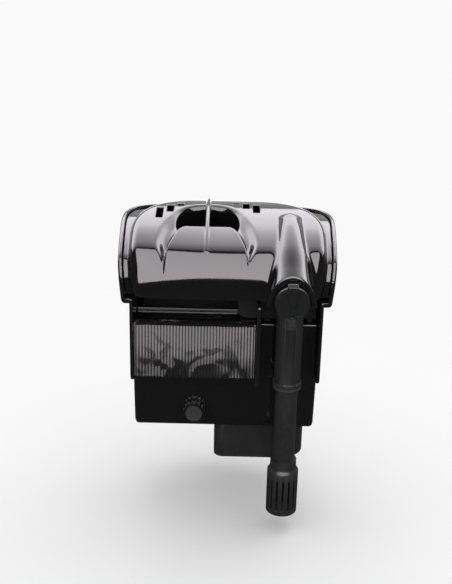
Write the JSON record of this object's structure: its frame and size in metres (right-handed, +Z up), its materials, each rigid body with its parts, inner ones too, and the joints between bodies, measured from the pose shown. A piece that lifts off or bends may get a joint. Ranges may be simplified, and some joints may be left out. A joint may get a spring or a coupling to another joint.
{
  "type": "hang-on power filter",
  "caption": "Glossy aquarium power filter that hangs on the tank wall, with domed lid, ribbed spillway, intake with flow knob and sliding strainer, and motor below.",
  "frame": {"origin": "middle of the saddle face that rests on top of the tank wall", "axes": "+X along the tank wall towards the intake tube, +Y out of the tank towards the back of the box, +Z up"},
  "size_m": [0.2072, 0.165, 0.2845],
  "materials": {
    "case_black": "high gloss",
    "lid_black": "high gloss",
    "chute_black": "gloss, wet",
    "tube_grey": "satin",
    "motor_black": "satin",
    "impeller_white": "satin",
    "rubber_black": "matt",
    "cord_black": "satin",
    "steel": "brushed",
    "pin_brass": "polished",
    "coil_copper": "enamelled copper wire",
    "magnet_ferrite": "dark sintered",
    "cartridge_grey": "satin",
    "floss_white": "fibrous",
    "carbon_black": "granules",
    "ring_ceramic": "porous",
    "sponge_blue": "open-cell foam"
  },
  "bodies": {
    "case": {"filter_case": "case_black", "spillway_panel": "chute_black", "intake_elbow": "tube_grey", "tube_bracket": "tube_grey", "intake_tube": "tube_grey", "tube_seal": "rubber_black", "impeller_cover": "tube_grey", "rotor_shaft": "steel", "lower_bush": "rubber_black", "upper_bush": "rubber_black", "motor_housing": "motor_black", "motor_base": "motor_black", "motor_o_ring": "rubber_black", "motor_screws": "steel", "stator_core": "steel", "stator_coils": "coil_copper", "strain_relief": "rubber_black", "power_cord": "cord_black", "cord_tie": "rubber_black", "plug_body": "cord_black", "plug_pins": "pin_brass", "cartridge_frame": "cartridge_grey", "floss_pad": "floss_white", "carbon_bed": "carbon_black", "media_basket": "tube_grey", "ceramic_rings": "ring_ceramic", "bio_sponge": "sponge_blue"},
    "lid": {"lid": "lid_black"},
    "knob": {"flow_knob": "tube_grey", "valve_shutter": "tube_grey", "knob_o_ring": "rubber_black"},
    "extension": {"extension_tube": "tube_grey", "strainer": "tube_grey"},
    "rotor": {"impeller": "impeller_white", "rotor_magnet": "magnet_ferrite"},
    "level_pad": {"level_pad": "rubber_black"},
    "level_wheel": {"level_wheel": "motor_black"}
  },
  "joints": [
    {"name": "lid_lift", "type": "slide", "parent": "case", "child": "lid", "axis": [0, 0, 1], "range_m": [0, 0.09]},
    {"name": "knob_turn", "type": "hinge", "parent": "case", "child": "knob", "pos_m": [0.058, -0.04, 0.039], "axis": [0, 1, 0], "range_deg": [0, 110]},
    {"name": "tube_extend", "type": "slide", "parent": "case", "child": "extension", "axis": [0, 0, 1], "range_m": [-0.02, 0.025]},
    {"name": "rotor_spin", "type": "hinge", "parent": "case", "child": "rotor", "pos_m": [0.058, 0.048, -0.11], "axis": [0, 0, 1], "continuous": true},
    {"name": "level_slide", "type": "slide", "parent": "case", "child": "level_pad", "axis": [0, -1, 0], "range_m": [0, 0.004]},
    {"name": "level_turn", "type": "hinge", "parent": "level_pad", "child": "level_wheel", "pos_m": [-0.03, 0.005, -0.098], "axis": [0, -1, 0], "range_deg": [0, 720]}
  ],
  "couplings": [
    {"joint": "level_slide", "follows": "level_turn", "m_per_rad": 0.00031831}
  ]
}
